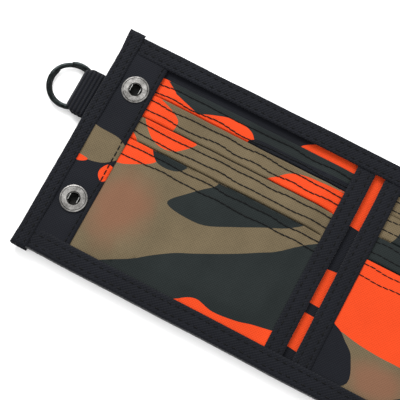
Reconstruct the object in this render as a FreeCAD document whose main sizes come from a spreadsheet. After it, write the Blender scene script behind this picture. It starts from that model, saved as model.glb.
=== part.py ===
"""Trifold wallet, lying open on its outer face: three fabric panels joined by two soft folds.

+X runs along the open wallet, away from its key ring, +Y points to the mouth of the bill
compartment, and +Z is up. The origin is the middle of the object's footprint, on the surface
that it lies on. Millimetres.
"""
import FreeCAD, Part
import os
import re
import Sketcher

DRIVING = {
    # panels
    "panel_height": 99.0,
    "left_width": 115.5,
    "middle_width": 116.0,
    "right_width": 112.0,
    "fold_gap": 4.5,
    # layers
    "shell_thick": 0.6,
    "lining_thick": 0.3,
    "tape_thick": 0.35,
    "bill_gap": 0.8,
    "shell_bottom": 2.0,
    # folded edge of each card tier, below the panel's top
    "tier_one": 11.4,
    "tier_two": 20.0,
    "tier_three": 30.3,
    "tier_four": 40.6,
    # binding tapes, folded
    "edge_tape": 6.5,
    "top_tape": 7.5,
    "bottom_tape": 8.5,
    "pocket_tape": 7.7,
    "tape_overhang": 0.8,
    # snap strip and its snaps
    "strip_width": 21.3,
    "strip_lap": 2.0,
    "snap_inset": 13.6,
    "snap_first": 21.5,
    "snap_second": 73.0,
    "socket_radius": 5.6,
    "flange_thick": 0.8,
    "flange_chamfer": 0.25,
    "barrel_radius": 3.1,
    "barrel_base": 0.4,
    "recess_radius": 2.5,
    "spring_radius": 2.22,
    "spring_wire": 0.2,
    "spring_drop": 0.45,
    "post_radius": 1.4,
    "cap_radius": 6.4,
    "cap_crown": 4.2,
    "cap_rim": 0.8,
    "stud_radius": 5.0,
    "stud_flange": 0.5,
    "stud_neck": 1.7,
    "stud_head": 1.9,
    "washer_radius": 4.0,
    "washer_thick": 0.4,
    "fit_clear": 0.1,
    # key loop and split ring
    "ring_radius": 10.4,
    "ring_wire": 2.3,
    "ring_thick": 2.0,
    "ring_groove": 0.25,
    "loop_thick": 0.65,
    "loop_width": 19.8,
    "loop_neck": 15.0,
    "loop_fold": 9.25,
    "loop_tail": 6.5,
    "loop_below_top": 31.0,
    # coin pocket
    "coin_inset": 12.0,
    "coin_margin": 8.0,
    "coin_mouth": 27.5,
    "coin_hem": 12.0,
    "coin_depth": 2.0,
    "flap_drop": 16.5,
    "flap_length": 38.0,
    "flap_thick": 0.5,
    "flap_rise": 1.8,
    "coin_snap_radius": 4.5,
    "coin_snap_reach": 30.0,
    "coin_cap_thick": 0.9,
    "coin_stud_flange": 0.4,
}

DERIVED = {
    "inner_radius": "(ring_radius - ring_wire)",
    "ring_reach": "(loop_thick + fit_clear + 2 * ring_radius)",
    "open_width": "(left_width + middle_width + right_width + 2 * fold_gap)",
    "wallet_left": "((ring_reach - open_width) / 2)",
    "left_end": "(wallet_left + left_width)",
    "middle_left": "(left_end + fold_gap)",
    "middle_end": "(middle_left + middle_width)",
    "right_left": "(middle_end + fold_gap)",
    "wallet_right": "(right_left + right_width)",
    "panel_top": "(panel_height / 2)",
    "slot_height": "(panel_height - 2 * tape_thick)",
    "lower_tape": "(shell_bottom - tape_thick)",
    "shell_top": "(shell_bottom + shell_thick)",
    "lining_bottom": "(shell_top + bill_gap)",
    "back_bottom": "(lining_bottom + lining_thick)",
    "tier_bottom": "(back_bottom + tape_thick)",
    "tier_top": "(tier_bottom + 4 * lining_thick)",
    "pocket_tape_top": "(tier_top + tape_thick)",
    "long_tape_top": "(pocket_tape_top + tape_thick)",
    "edge_tape_bottom": "(lower_tape - tape_thick)",
    "edge_tape_top": "(long_tape_top + tape_thick)",
    "tier_left": "(wallet_left + strip_width - strip_lap)",
    "socket_x": "(wallet_left + snap_inset)",
    "stud_x": "(socket_x + 2 * (middle_width + fold_gap))",
    "snap_first_y": "(panel_top - snap_first)",
    "snap_second_y": "(panel_top - snap_second)",
    "barrel_bottom": "(back_bottom + 0.2)",
    "loop_y": "(panel_top - loop_below_top)",
    "ring_x": "(wallet_left - loop_thick - fit_clear - ring_radius)",
    "coin_back_top": "(tier_bottom + lining_thick)",
    "coin_left": "(right_left + coin_inset)",
    "coin_width": "(right_width - coin_inset - coin_margin)",
    "coin_low": "(coin_hem - panel_top)",
    "coin_height": "(panel_height - coin_mouth - coin_hem)",
    "coin_front": "(coin_back_top + coin_depth)",
    "coin_front_top": "(coin_front + lining_thick)",
    "flap_bottom": "(coin_front_top + flap_rise)",
    "flap_top": "(flap_bottom + flap_thick)",
    "flap_y": "(panel_top - flap_drop)",
    "coin_snap_x": "(coin_left + coin_width / 2)",
    "coin_snap_y": "(flap_y - coin_snap_reach)",
    "coin_socket_bottom": "(coin_front_top + coin_stud_flange + fit_clear)",
}

doc = FreeCAD.newDocument("trifold_wallet")
sheet = doc.addObject("Spreadsheet::Sheet", "Sheet")
for row, (alias, number) in enumerate(DRIVING.items(), start=1):
    sheet.set(f"A{row}", str(number))
    sheet.setAlias(f"A{row}", alias)
doc.recompute()
nodes = {}


def bound(formula):
    """The formula as an expression on the sheet's cells alone."""

    def one(match):
        word = match.group(0)
        if word in DERIVED:
            return bound(DERIVED[word])
        return f"Sheet.{word}"

    return re.sub(r"[a-z][a-z_]+", one, str(formula))


def measure(formula):
    """A formula's value with the sheet's present numbers."""
    return float(sheet.evalExpression(bound(formula).replace("Sheet.", "")))


def place(thing, x, y, z):
    for axis, formula in zip("xyz", (x, y, z)):
        thing.setExpression(f"Placement.Base.{axis}", bound(formula))


def box(x, y, z, length, width, height):
    """A box from its lowest corner."""
    made = doc.addObject("Part::Box", "block")
    for side, formula in zip(("Length", "Width", "Height"), (length, width, height)):
        made.setExpression(side, bound(formula))
    place(made, x, y, z)
    return made


def hole(x, y, z, radius, height):
    made = doc.addObject("Part::Cylinder", "hole")
    made.setExpression("Radius", bound(radius))
    made.setExpression("Height", bound(height))
    place(made, x, y, z)
    return made


def cut(base, *tools):
    """base with each of the tools taken away."""
    for tool in tools:
        made = doc.addObject("Part::Cut", "cut")
        made.Base = base
        made.Tool = tool
        base = made
    return base


def group(*parts):
    """Identical fasteners as separate solids of one node."""
    made = doc.addObject("Part::Compound", "group")
    made.Links = list(parts)
    return made


def node(name, thing):
    thing.Label = name
    nodes[name] = thing
    return thing


def outline(body, label, *loops):
    """A sketch on the body's XZ plane, each corner held at (x, z) formulas of the sheet."""
    sketch = body.newObject("Sketcher::SketchObject", label)
    plane = [o for o in body.Origin.OriginFeatures if o.Role == "XZ_Plane"][0]
    sketch.AttachmentSupport = [(plane, "")]
    sketch.MapMode = "FlatFace"
    first = 0
    for corners in loops:
        drawn = [[measure(formula) for formula in corner] for corner in corners]
        count = len(corners)
        for i in range(count):
            start = FreeCAD.Vector(*drawn[i], 0)
            end = FreeCAD.Vector(*drawn[(i + 1) % count], 0)
            sketch.addGeometry(Part.LineSegment(start, end))
        for i in range(count):
            line = first + i
            after = first + (i + 1) % count
            sketch.addConstraint(Sketcher.Constraint("Coincident", line, 2, after, 1))
            for axis, way, formula in zip((-2, -1), "XY", corners[i]):
                if formula == 0:
                    sketch.addConstraint(Sketcher.Constraint("PointOnObject", line, 1, axis))
                    continue
                held = Sketcher.Constraint(f"Distance{way}", -1, 1, line, 1, measure(formula))
                number = sketch.addConstraint(held)
                sketch.renameConstraint(number, f"corner_{way.lower()}{line}")
                sketch.setExpression(f"Constraints.corner_{way.lower()}{line}", bound(formula))
        first += count
    return sketch


def revolved(label, x, y, z, corners):
    """A turned piece: its half outline as (radius, height) corners, about a vertical axis."""
    body = doc.addObject("PartDesign::Body", label)
    turn = body.newObject("PartDesign::Revolution", f"{label}_turn")
    sketch = outline(body, f"{label}_outline", corners)
    turn.Profile = sketch
    turn.ReferenceAxis = (sketch, ["V_Axis"])
    turn.Angle = 360
    body.Tip = turn
    place(body, x, y, z)
    return body


def channel(name, x, y, z, length, width, height, open_side):
    """A binding tape folded to a U around an edge. open_side is where its mouth faces."""
    outer = box(x, y, z, length, width, height)
    slot_z = f"{z} + tape_thick"
    slot_high = f"{height} - 2 * tape_thick"
    if open_side == "-Y":
        slot = box(x, f"{y} - 1", slot_z, length, f"{width} + 1 - tape_thick", slot_high)
    elif open_side == "+Y":
        slot = box(x, f"{y} + tape_thick", slot_z, length, width, slot_high)
    elif open_side == "-X":
        slot = box(f"{x} - 1", y, slot_z, f"{length} + 1 - tape_thick", width, slot_high)
    else:
        slot = box(f"{x} + tape_thick", y, slot_z, length, width, slot_high)
    return node(name, cut(outer, slot))


# ---- what every panel and both folds have: shell, lining and the long tapes ----


def long_tapes(name, left, length):
    """The tapes along the top of the shell, the top of the lining and the bottom of both."""
    top_y = "panel_top - top_tape"
    shell_tape = "shell_thick + 2 * tape_thick"
    channel(f"{name}_shell_top_tape", left, top_y, "lower_tape", length, "top_tape", shell_tape, "-Y")
    inner_low = "lining_bottom - tape_thick"
    inner_high = "long_tape_top - lining_bottom + tape_thick"
    channel(f"{name}_top_tape", left, top_y, inner_low, length, "top_tape", inner_high, "-Y")
    whole = "long_tape_top - lower_tape"
    channel(f"{name}_bottom_tape", left, "-panel_top", "lower_tape", length, "bottom_tape", whole, "+Y")


def panel(name, left, length, holes=()):
    """One panel's shell and lining, with the holes that its snaps go through."""
    low = "tape_thick - panel_top"
    shell = box(left, low, "shell_bottom", length, "slot_height", "shell_thick")
    lining = box(left, low, "lining_bottom", length, "slot_height", "lining_thick")
    for x, y, through in holes:
        shell = cut(shell, hole(x, y, "shell_bottom", "post_radius + fit_clear", "shell_thick"))
        if through:
            lining = cut(lining, hole(x, y, "lining_bottom", "post_radius + fit_clear", "lining_thick"))
    node(f"{name}_shell", shell)
    node(f"{name}_lining", lining)
    long_tapes(name, left, length)


SNAP_ROWS = ("snap_first_y", "snap_second_y")
socket_holes = [("socket_x", y, True) for y in SNAP_ROWS]
stud_holes = [("stud_x", y, False) for y in SNAP_ROWS]
panel("left", "wallet_left + tape_thick", "left_width - tape_thick", socket_holes)
panel("left_fold", "left_end", "fold_gap")
panel("middle", "middle_left", "middle_width")
panel("right_fold", "middle_end", "fold_gap")
panel("right", "right_left", "right_width - tape_thick", stud_holes)

# ---- card pockets: four staggered tiers on the left and the middle panel ----


def card_pockets(name, left, length, back_left, back_length):
    low = "tape_thick - panel_top"
    back = box(back_left, low, "back_bottom", back_length, "slot_height", "lining_thick")
    node(f"{name}_pocket_back", back)
    for number, edge in enumerate(("tier_one", "tier_two", "tier_three", "tier_four")):
        height = f"panel_height - tape_thick - {edge}"
        bottom = f"tier_bottom + {number} * lining_thick"
        tier = box(left, low, bottom, length, height, "lining_thick")
        node(f"{name}_card_tier_{number + 1}", tier)


def pocket_tape(name, left, open_side, bottom="back_bottom", height="pocket_tape_top - back_bottom"):
    low = "tape_thick - panel_top"
    channel(name, left, low, bottom, "pocket_tape", "slot_height", height, open_side)


card_pockets(
    "left",
    "tier_left",
    "left_end - tape_thick - tier_left",
    "tier_left",
    "left_end - pocket_tape - tier_left",
)
pocket_tape("left_pocket_tape", "left_end - pocket_tape", "-X")
card_pockets(
    "middle",
    "middle_left + tape_thick",
    "middle_width - 2 * tape_thick",
    "middle_left + pocket_tape",
    "middle_width - 2 * pocket_tape",
)
pocket_tape("middle_left_pocket_tape", "middle_left", "+X")
pocket_tape("middle_right_pocket_tape", "middle_end - pocket_tape", "-X")

# ---- left panel: edge tape, snap strip and the two ring-spring sockets ----


def edge_tape(name, left, open_side):
    low = "-(panel_top + tape_overhang)"
    high = "edge_tape_top - edge_tape_bottom"
    long = "panel_height + 2 * tape_overhang"
    channel(name, left, low, "edge_tape_bottom", "edge_tape", long, high, open_side)


edge_tape("left_edge_tape", "wallet_left", "+X")
strip_low = "tape_thick - panel_top"
strip_left = "wallet_left + tape_thick"
strip = box(strip_left, strip_low, "tier_top", "strip_width - tape_thick", "slot_height", "tape_thick")
stiffener = box(
    strip_left,
    strip_low,
    "back_bottom",
    "strip_width - strip_lap - tape_thick",
    "slot_height",
    "tier_top - back_bottom",
)
barrel_hole = "barrel_radius + fit_clear"
for snap_y in SNAP_ROWS:
    strip = cut(strip, hole("socket_x", snap_y, "tier_top", barrel_hole, "tape_thick"))
    stiffener = cut(stiffener, hole("socket_x", snap_y, "back_bottom", barrel_hole, "tier_top - back_bottom"))
node("snap_strip", strip)
node("snap_stiffener", stiffener)

flange_bottom = "pocket_tape_top - barrel_bottom"
flange_top = "pocket_tape_top + flange_thick - barrel_bottom"
SOCKET = [
    (0, 0),
    ("barrel_radius", 0),
    ("barrel_radius", flange_bottom),
    ("socket_radius", flange_bottom),
    ("socket_radius", f"{flange_top} - flange_chamfer"),
    ("socket_radius - 2 * flange_chamfer", flange_top),
    ("recess_radius + flange_chamfer", flange_top),
    ("recess_radius", f"{flange_top} - flange_chamfer"),
    ("recess_radius", "barrel_base"),
    (0, "barrel_base"),
]
CAP = [
    (0, 0),
    ("cap_crown", 0),
    ("cap_radius", "shell_bottom - cap_rim"),
    ("cap_radius", "shell_bottom"),
    ("post_radius", "shell_bottom"),
    ("post_radius", "barrel_bottom"),
    (0, "barrel_bottom"),
]
sockets, caps, springs = [], [], []
for snap_y in SNAP_ROWS:
    sockets.append(revolved("socket", "socket_x", snap_y, "barrel_bottom", SOCKET))
    caps.append(revolved("cap", "socket_x", snap_y, 0, CAP))
    spring = doc.addObject("Part::Torus", "spring")
    spring.setExpression("Radius1", bound("spring_radius"))
    spring.setExpression("Radius2", bound("spring_wire"))
    place(spring, "socket_x", snap_y, "pocket_tape_top + flange_thick - spring_drop")
    springs.append(spring)
node("snap_sockets", group(*sockets))
node("snap_caps", group(*caps))
node("snap_springs", group(*springs))

# ---- key loop, sewn on behind the left edge, and the split ring that it holds ----

loop_high = "ring_thick + 2 * (loop_thick + fit_clear)"
loop_body = doc.addObject("PartDesign::Body", "loop")
loop_pad = loop_body.newObject("PartDesign::Pad", "loop_pad")
loop_pad.Profile = outline(
    loop_body,
    "loop_outline",
    [
        (0, 0),
        ("loop_fold + loop_tail", 0),
        ("loop_fold + loop_tail", "2 * loop_thick"),
        ("loop_fold", "2 * loop_thick"),
        ("loop_fold", loop_high),
        (0, loop_high),
    ],
    [
        ("loop_thick", "loop_thick"),
        ("loop_fold - loop_thick", "loop_thick"),
        ("loop_fold - loop_thick", f"{loop_high} - loop_thick"),
        ("loop_thick", f"{loop_high} - loop_thick"),
    ],
)
loop_pad.setExpression("Length", bound("loop_width"))
loop_pad.Midplane = True
loop_body.Tip = loop_pad
place(loop_body, "wallet_left - loop_fold", "loop_y", 0)
notch_width = "(loop_width - loop_neck) / 2"
notch_size = ("loop_thick + 2 * fit_clear", notch_width, loop_high)
notch_left = "wallet_left - loop_fold"
upper_notch = box(notch_left, "loop_y + loop_neck / 2", 0, *notch_size)
lower_notch = box(notch_left, "loop_y - loop_width / 2", 0, *notch_size)
node("key_loop", cut(loop_body, upper_notch, lower_notch))

groove_low = "ring_thick / 2 - ring_groove / 2"
groove_high = "ring_thick / 2 + ring_groove / 2"
RING = [
    ("inner_radius", 0),
    ("ring_radius", 0),
    ("ring_radius", groove_low),
    ("ring_radius - ring_groove", "ring_thick / 2"),
    ("ring_radius", groove_high),
    ("ring_radius", "ring_thick"),
    ("inner_radius", "ring_thick"),
]
node("key_ring", revolved("ring", "ring_x", "loop_y", "loop_thick + fit_clear", RING))

# ---- right panel: edge tape, outer studs and the coin pocket ----

edge_tape("right_edge_tape", "wallet_right - edge_tape", "-X")
pocket_tape("right_pocket_tape", "right_left", "+X", height="lining_thick + 2 * tape_thick")
right_back_length = "right_width - 2 * tape_thick"
right_back_left = "right_left + tape_thick"
coin_back = box(right_back_left, strip_low, "tier_bottom", right_back_length, "slot_height", "lining_thick")
node("coin_pocket_back", coin_back)

STUD = [
    (0, 0),
    ("stud_head", 0),
    ("stud_head", "stud_flange"),
    ("stud_neck", "stud_flange"),
    ("stud_neck", "shell_bottom - stud_flange"),
    ("stud_radius", "shell_bottom - stud_flange"),
    ("stud_radius", "shell_bottom"),
    ("post_radius", "shell_bottom"),
    ("post_radius", "shell_top + washer_thick"),
    (0, "shell_top + washer_thick"),
]
WASHER = [
    ("post_radius", 0),
    ("washer_radius", 0),
    ("washer_radius", "washer_thick"),
    ("post_radius", "washer_thick"),
]
studs, washers = [], []
for snap_y in SNAP_ROWS:
    studs.append(revolved("stud", "stud_x", snap_y, 0, STUD))
    washers.append(revolved("washer", "stud_x", snap_y, "shell_top", WASHER))
node("snap_studs", group(*studs))
node("snap_stud_washers", group(*washers))

gusset = box("coin_left", "coin_low", "coin_back_top", "coin_width", "coin_height", "coin_depth")
gusset_inside = box(
    "coin_left + lining_thick",
    "coin_low + lining_thick",
    "coin_back_top",
    "coin_width - 2 * lining_thick",
    "coin_height",
    "coin_depth",
)
node("coin_pocket_gusset", cut(gusset, gusset_inside))
front = box("coin_left", "coin_low", "coin_front", "coin_width", "coin_height", "lining_thick")
front_hole = hole("coin_snap_x", "coin_snap_y", "coin_front", "post_radius", "lining_thick")
node("coin_pocket_front", cut(front, front_hole))
root_y = "flap_y + fit_clear"
root_high = "flap_bottom - fit_clear - coin_back_top"
node("coin_flap_root", box("coin_left", root_y, "coin_back_top", "coin_width", "tape_thick", root_high))
COIN_STUD = [
    (0, 0),
    ("washer_radius", 0),
    ("washer_radius", "washer_thick"),
    ("post_radius", "washer_thick"),
    ("post_radius", "washer_thick + lining_thick"),
    ("washer_radius", "washer_thick + lining_thick"),
    ("washer_radius", "washer_thick + lining_thick + coin_stud_flange"),
    ("stud_neck", "washer_thick + lining_thick + coin_stud_flange"),
    ("stud_neck", "washer_thick + lining_thick + coin_stud_flange + washer_thick"),
    ("stud_head", "washer_thick + lining_thick + coin_stud_flange + washer_thick"),
    ("stud_head", "washer_thick + lining_thick + coin_stud_flange + coin_cap_thick"),
    (0, "washer_thick + lining_thick + coin_stud_flange + coin_cap_thick"),
]
stud_bottom = "coin_front - washer_thick"
node("coin_snap_stud", revolved("coin_stud", "coin_snap_x", "coin_snap_y", stud_bottom, COIN_STUD))

# ---- the coin pocket's flap and what it carries ----

flap_low = "flap_y - flap_length"
flap = box("coin_left", flap_low, "flap_bottom", "coin_width", "flap_length", "flap_thick")
flap = cut(flap, hole("coin_snap_x", "coin_snap_y", "flap_bottom", "post_radius + fit_clear", "flap_thick"))
node("coin_flap", flap)
COIN_SOCKET = [
    ("recess_radius", 0),
    ("coin_snap_radius", 0),
    ("coin_snap_radius", "flap_bottom - coin_socket_bottom"),
    (0, "flap_bottom - coin_socket_bottom"),
    (0, "coin_cap_thick + fit_clear"),
    ("recess_radius", "coin_cap_thick + fit_clear"),
]
COIN_CAP = [
    (0, 0),
    ("post_radius", 0),
    ("post_radius", "flap_thick"),
    ("coin_snap_radius", "flap_thick"),
    ("coin_snap_radius", "flap_thick + coin_cap_thick / 2"),
    ("recess_radius", "flap_thick + coin_cap_thick"),
    (0, "flap_thick + coin_cap_thick"),
]
coin_place = ("coin_snap_x", "coin_snap_y")
node("coin_snap_socket", revolved("coin_socket", *coin_place, "coin_socket_bottom", COIN_SOCKET))
node("coin_snap_cap", revolved("coin_cap", *coin_place, "flap_bottom", COIN_CAP))

# ---- check and write ----

doc.recompute()
for thing in doc.Objects:
    if {"Invalid", "Error"} & set(thing.State):
        raise SystemExit(f"{thing.Label} failed: {thing.State}")
for name, thing in nodes.items():
    if thing.Shape.isNull() or not thing.Shape.isValid():
        raise SystemExit(f"{name} has no valid shape")
os.makedirs("parts", exist_ok=True)
for name, thing in nodes.items():
    thing.Shape.exportStep(f"parts/{name}.step")
print(len(nodes), "nodes written")
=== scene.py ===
import math
import bpy
from mathutils import Matrix, Vector, geometry, noise


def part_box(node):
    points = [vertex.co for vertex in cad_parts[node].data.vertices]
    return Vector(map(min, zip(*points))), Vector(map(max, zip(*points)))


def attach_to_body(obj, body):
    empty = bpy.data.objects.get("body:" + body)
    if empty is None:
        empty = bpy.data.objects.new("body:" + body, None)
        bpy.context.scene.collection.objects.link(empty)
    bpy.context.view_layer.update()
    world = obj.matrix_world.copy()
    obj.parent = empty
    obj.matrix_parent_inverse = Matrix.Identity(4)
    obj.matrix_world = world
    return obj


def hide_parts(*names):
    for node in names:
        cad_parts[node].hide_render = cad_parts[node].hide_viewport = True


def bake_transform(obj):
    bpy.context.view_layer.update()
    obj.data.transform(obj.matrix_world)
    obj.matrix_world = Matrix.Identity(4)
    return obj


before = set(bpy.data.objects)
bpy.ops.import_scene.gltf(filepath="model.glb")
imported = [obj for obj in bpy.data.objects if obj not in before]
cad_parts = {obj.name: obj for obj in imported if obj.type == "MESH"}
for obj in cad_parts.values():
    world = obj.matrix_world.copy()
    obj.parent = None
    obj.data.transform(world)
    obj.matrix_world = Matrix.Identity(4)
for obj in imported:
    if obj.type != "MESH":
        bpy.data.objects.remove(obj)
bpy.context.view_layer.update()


def corners(node):
    low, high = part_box(node)
    return [c * 1000 for c in low], [c * 1000 for c in high]


def angles(count):
    """A full turn in equal steps."""
    return [i * math.tau / count for i in range(count)]


# ---------------------------------------------------------------- places, from the CAD

SHELL_LOW, SHELL_HIGH = corners("middle_shell")
LEFT = corners("left_shell")[0][0]
RIGHT = corners("right_shell")[1][0]
HALF = SHELL_HIGH[1]
LEFT_END, MIDDLE_LEFT = corners("left_shell")[1][0], SHELL_LOW[0]
MIDDLE_END, RIGHT_LEFT = SHELL_HIGH[0], corners("right_shell")[0][0]
FOLD_1 = (LEFT_END + MIDDLE_LEFT) / 2
FOLD_2 = (MIDDLE_END + RIGHT_LEFT) / 2
CENTRE = (MIDDLE_LEFT + MIDDLE_END) / 2
BEND = 7.5
BEND_PAST_1 = 4.4  # the right panel's edge lands just beyond this
BLENDS = {
    "left": ("left_panel", "middle_panel", FOLD_1),
    "right": ("middle_panel", "right_panel", FOLD_2),
}
HALVES = (("left", LEFT, CENTRE), ("right", CENTRE, RIGHT))  # long pieces are split here, so each crosses one fold
HOLE_SIDES = 32
THREAD_LIFT = 0.05  # how far a stitch's middle line stands above the cloth
LOCKSTITCH = {"pitch": 2.7, "length": 2.85, "radius": 0.27, "kind": 0}


def half_nodes(side, kind):
    """The CAD nodes that one half of a long piece stands for."""
    return [f"{side}_{kind}", f"{side}_fold_{kind}"] + ([f"middle_{kind}"] if side == "left" else [])


def row_along_x(y, height):
    """Where the stitches of a row along X lie on the surface height(x, y)."""
    return lambda s, drift: (s, y + drift, height(s, y) + THREAD_LIFT)


def row_along_y(x, height):
    return lambda s, drift: (x + drift, s, height(x, s) + THREAD_LIFT)

# ---------------------------------------------------------------- materials


PAINT = 0.64  # the lights are strong enough to whiten the floor, so every colour is this much darker than it looks
BANDS_PER_UNIT = 3.183  # how many bands the wave texture has per unit at scale 1


def linear(r, g, b):
    return tuple(
        PAINT * c / 12.92 if c <= 0.04045 else PAINT * ((c + 0.055) / 1.055) ** 2.4
        for c in (r / 255, g / 255, b / 255)
    )


def material(name):
    m = bpy.data.materials.new(name)
    m.use_nodes = True
    tree = m.node_tree
    return m, tree, tree.nodes["Principled BSDF"]


def add(tree, kind, **values):
    n = tree.nodes.new(kind)
    for key, value in values.items():
        if key in n.inputs:
            n.inputs[key].default_value = value
        else:
            setattr(n, key, value)
    return n


def math_node(tree, operation, a, b):
    n = add(tree, "ShaderNodeMath", operation=operation)
    for socket, value in zip(n.inputs, (a, b)):
        if isinstance(value, (int, float)):
            socket.default_value = value
        else:
            tree.links.new(value, socket)
    return n.outputs[0]


def weighted(tree, a, share_a, b, share_b):
    return math_node(tree, "ADD", math_node(tree, "MULTIPLY", a, share_a), math_node(tree, "MULTIPLY", b, share_b))


def mixed(tree, factor, dark, light):
    n = add(tree, "ShaderNodeMix", data_type="RGBA")
    tree.links.new(factor, n.inputs[0])
    n.inputs[6].default_value = (*dark, 1)
    n.inputs[7].default_value = (*light, 1)
    return n.outputs[2]


def cloth_material(name, colour, pitch=0.8, contrast=0.34, bump=0.8, sheen=0.05, rough=0.62, slant=0.6,
                   ribs=0.0, gloss=0.08, warm=()):
    """Woven cloth: warp and weft waves on the flat coordinates, a slow change of tone, and fuzz."""
    m, tree, shader = material(name)
    uv = add(tree, "ShaderNodeUVMap", uv_map="flat")
    turn = add(tree, "ShaderNodeMapping")
    turn.inputs["Rotation"].default_value = (0, 0, slant)
    tree.links.new(uv.outputs[0], turn.inputs[0])
    threads = []
    for direction in ("X", "Y"):
        wave = add(tree, "ShaderNodeTexWave", wave_type="BANDS", bands_direction=direction,
                   Scale=1 / pitch / BANDS_PER_UNIT, Distortion=0.6, Detail=1.0)
        tree.links.new(turn.outputs[0], wave.inputs["Vector"])
        threads.append(wave.outputs["Fac"])
    weave = math_node(tree, "MULTIPLY", math_node(tree, "ADD", threads[0], threads[1]), 0.5)
    slow = add(tree, "ShaderNodeTexNoise", Scale=0.045, Detail=3.0, Roughness=0.55)
    fine = add(tree, "ShaderNodeTexNoise", Scale=0.9, Detail=3.0, Roughness=0.7)
    tree.links.new(uv.outputs[0], slow.inputs["Vector"])
    tree.links.new(uv.outputs[0], fine.inputs["Vector"])
    height = weighted(tree, weave, 0.6, fine.outputs[0], 0.5)
    tone = weighted(tree, height, 0.55, slow.outputs[0], 0.55)
    if ribs:
        rib = add(tree, "ShaderNodeTexWave", wave_type="BANDS", bands_direction="X",
                  Scale=1 / ribs / BANDS_PER_UNIT, Distortion=0.15)
        tree.links.new(uv.outputs[0], rib.inputs["Vector"])
        height = math_node(tree, "ADD", height, math_node(tree, "MULTIPLY", rib.outputs["Fac"], 1.4))
        tone = weighted(tree, tone, 0.5, rib.outputs["Fac"], 0.5)
    base = linear(*colour)
    dark, light = [c * (1 - contrast * 2) for c in base], [min(1, c * (1 + contrast * 1.6)) for c in base]
    colour_out = mixed(tree, tone, dark, light)
    for (x, y), (rx, ry) in warm:
        offset = add(tree, "ShaderNodeMapping", vector_type="TEXTURE")
        offset.inputs["Location"].default_value = (x, y, 0)
        offset.inputs["Scale"].default_value = (rx, ry, 1)
        tree.links.new(uv.outputs[0], offset.inputs[0])
        reach = add(tree, "ShaderNodeVectorMath", operation="LENGTH")
        tree.links.new(offset.outputs[0], reach.inputs[0])
        wander = math_node(tree, "ADD", reach.outputs["Value"], math_node(tree, "MULTIPLY", slow.outputs[0], 0.9))
        soft = add(tree, "ShaderNodeMapRange", interpolation_type="SMOOTHSTEP")
        for key, value in (("From Min", 1.55), ("From Max", 0.75), ("To Min", 0.0), ("To Max", 0.8)):
            soft.inputs[key].default_value = value
        tree.links.new(wander, soft.inputs["Value"])
        blend = add(tree, "ShaderNodeMix", data_type="RGBA")
        tree.links.new(soft.outputs[0], blend.inputs[0])
        tree.links.new(colour_out, blend.inputs[6])
        blend.inputs[7].default_value = (*linear(134, 92, 70), 1)
        colour_out = blend.outputs[2]
    tree.links.new(colour_out, shader.inputs["Base Color"])
    relief = add(tree, "ShaderNodeBump", Strength=bump, Distance=0.0002)
    tree.links.new(height, relief.inputs["Height"])
    tree.links.new(relief.outputs[0], shader.inputs["Normal"])
    shader.inputs["Roughness"].default_value = rough
    shader.inputs["Sheen Weight"].default_value = sheen
    shader.inputs["Sheen Roughness"].default_value = 0.45
    shader.inputs["Specular IOR Level"].default_value = gloss
    return m


def metal_material(name, light, dark, rough, wear):
    """Plated metal: worn lighter in patches, finely scratched, unevenly glossy. For rigid pieces only."""
    m, tree, shader = material(name)
    place = add(tree, "ShaderNodeTexCoord")
    patches = add(tree, "ShaderNodeTexNoise", Scale=420.0, Detail=6.0, Roughness=0.65)
    scratch = add(tree, "ShaderNodeTexNoise", Scale=2600.0, Detail=4.0, Roughness=0.75)
    for n in (patches, scratch):
        tree.links.new(place.outputs["Object"], n.inputs["Vector"])
    blend = weighted(tree, patches.outputs[0], wear, scratch.outputs[0], 1 - wear)
    worn = add(tree, "ShaderNodeMapRange")
    worn.inputs["From Min"].default_value, worn.inputs["From Max"].default_value = 0.36, 0.64
    tree.links.new(blend, worn.inputs["Value"])
    tree.links.new(mixed(tree, worn.outputs[0], linear(*dark), linear(*light)), shader.inputs["Base Color"])
    gloss = math_node(tree, "ADD", math_node(tree, "MULTIPLY", patches.outputs[0], 0.25), rough - 0.1)
    tree.links.new(gloss, shader.inputs["Roughness"])
    relief = add(tree, "ShaderNodeBump", Strength=0.15, Distance=0.0001)
    tree.links.new(scratch.outputs[0], relief.inputs["Height"])
    tree.links.new(relief.outputs[0], shader.inputs["Normal"])
    shader.inputs["Metallic"].default_value = 1.0
    return m


ORANGE = cloth_material("camo_orange", (228, 70, 24), contrast=0.13)
KHAKI = cloth_material("camo_khaki", (107, 94, 71), warm=[
    ((-134, -18), (15, 19)), ((-14, -33), (14, 9)), ((120, -26), (18, 10)),
])
GREEN = cloth_material("camo_green", (31, 37, 37))
NAVY = cloth_material("camo_navy", (18, 20, 27))
LINING = cloth_material("lining_cloth", (17, 19, 23), pitch=0.7)
TAPE = cloth_material("herringbone_tape", (16, 18, 25), pitch=1.0, contrast=0.48, bump=1.4, slant=0.7, sheen=0.08)
WEB = cloth_material("ribbed_webbing", (19, 21, 28), pitch=0.7, contrast=0.48, bump=1.4, ribs=1.7, sheen=0.08)
THREAD = cloth_material("black_thread", (9, 10, 12), pitch=0.25, bump=0.4)
BOARD = cloth_material("felt_board", (30, 30, 31), pitch=1.1, bump=0.5)
NICKEL = metal_material("antique_nickel", (186, 184, 181), (84, 82, 79), 0.32, 0.6)
SPRING = metal_material("spring_wire", (235, 235, 232), (150, 150, 148), 0.3, 0.5)
BLACK_NICKEL = metal_material("black_nickel", (48, 53, 53), (16, 19, 19), 0.24, 0.7)
# SHADE is painted shade: near-black metal laid in the snap sockets' recesses and along their rims, where shadow falls.
SHADE = metal_material("painted_recess_shade", (38, 38, 38), (12, 12, 12), 0.6, 0.6)
CLOTHS = [KHAKI, ORANGE, GREEN, NAVY]
K, O, G, N = range(4)

# ---------------------------------------------------------------- meshes


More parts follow.
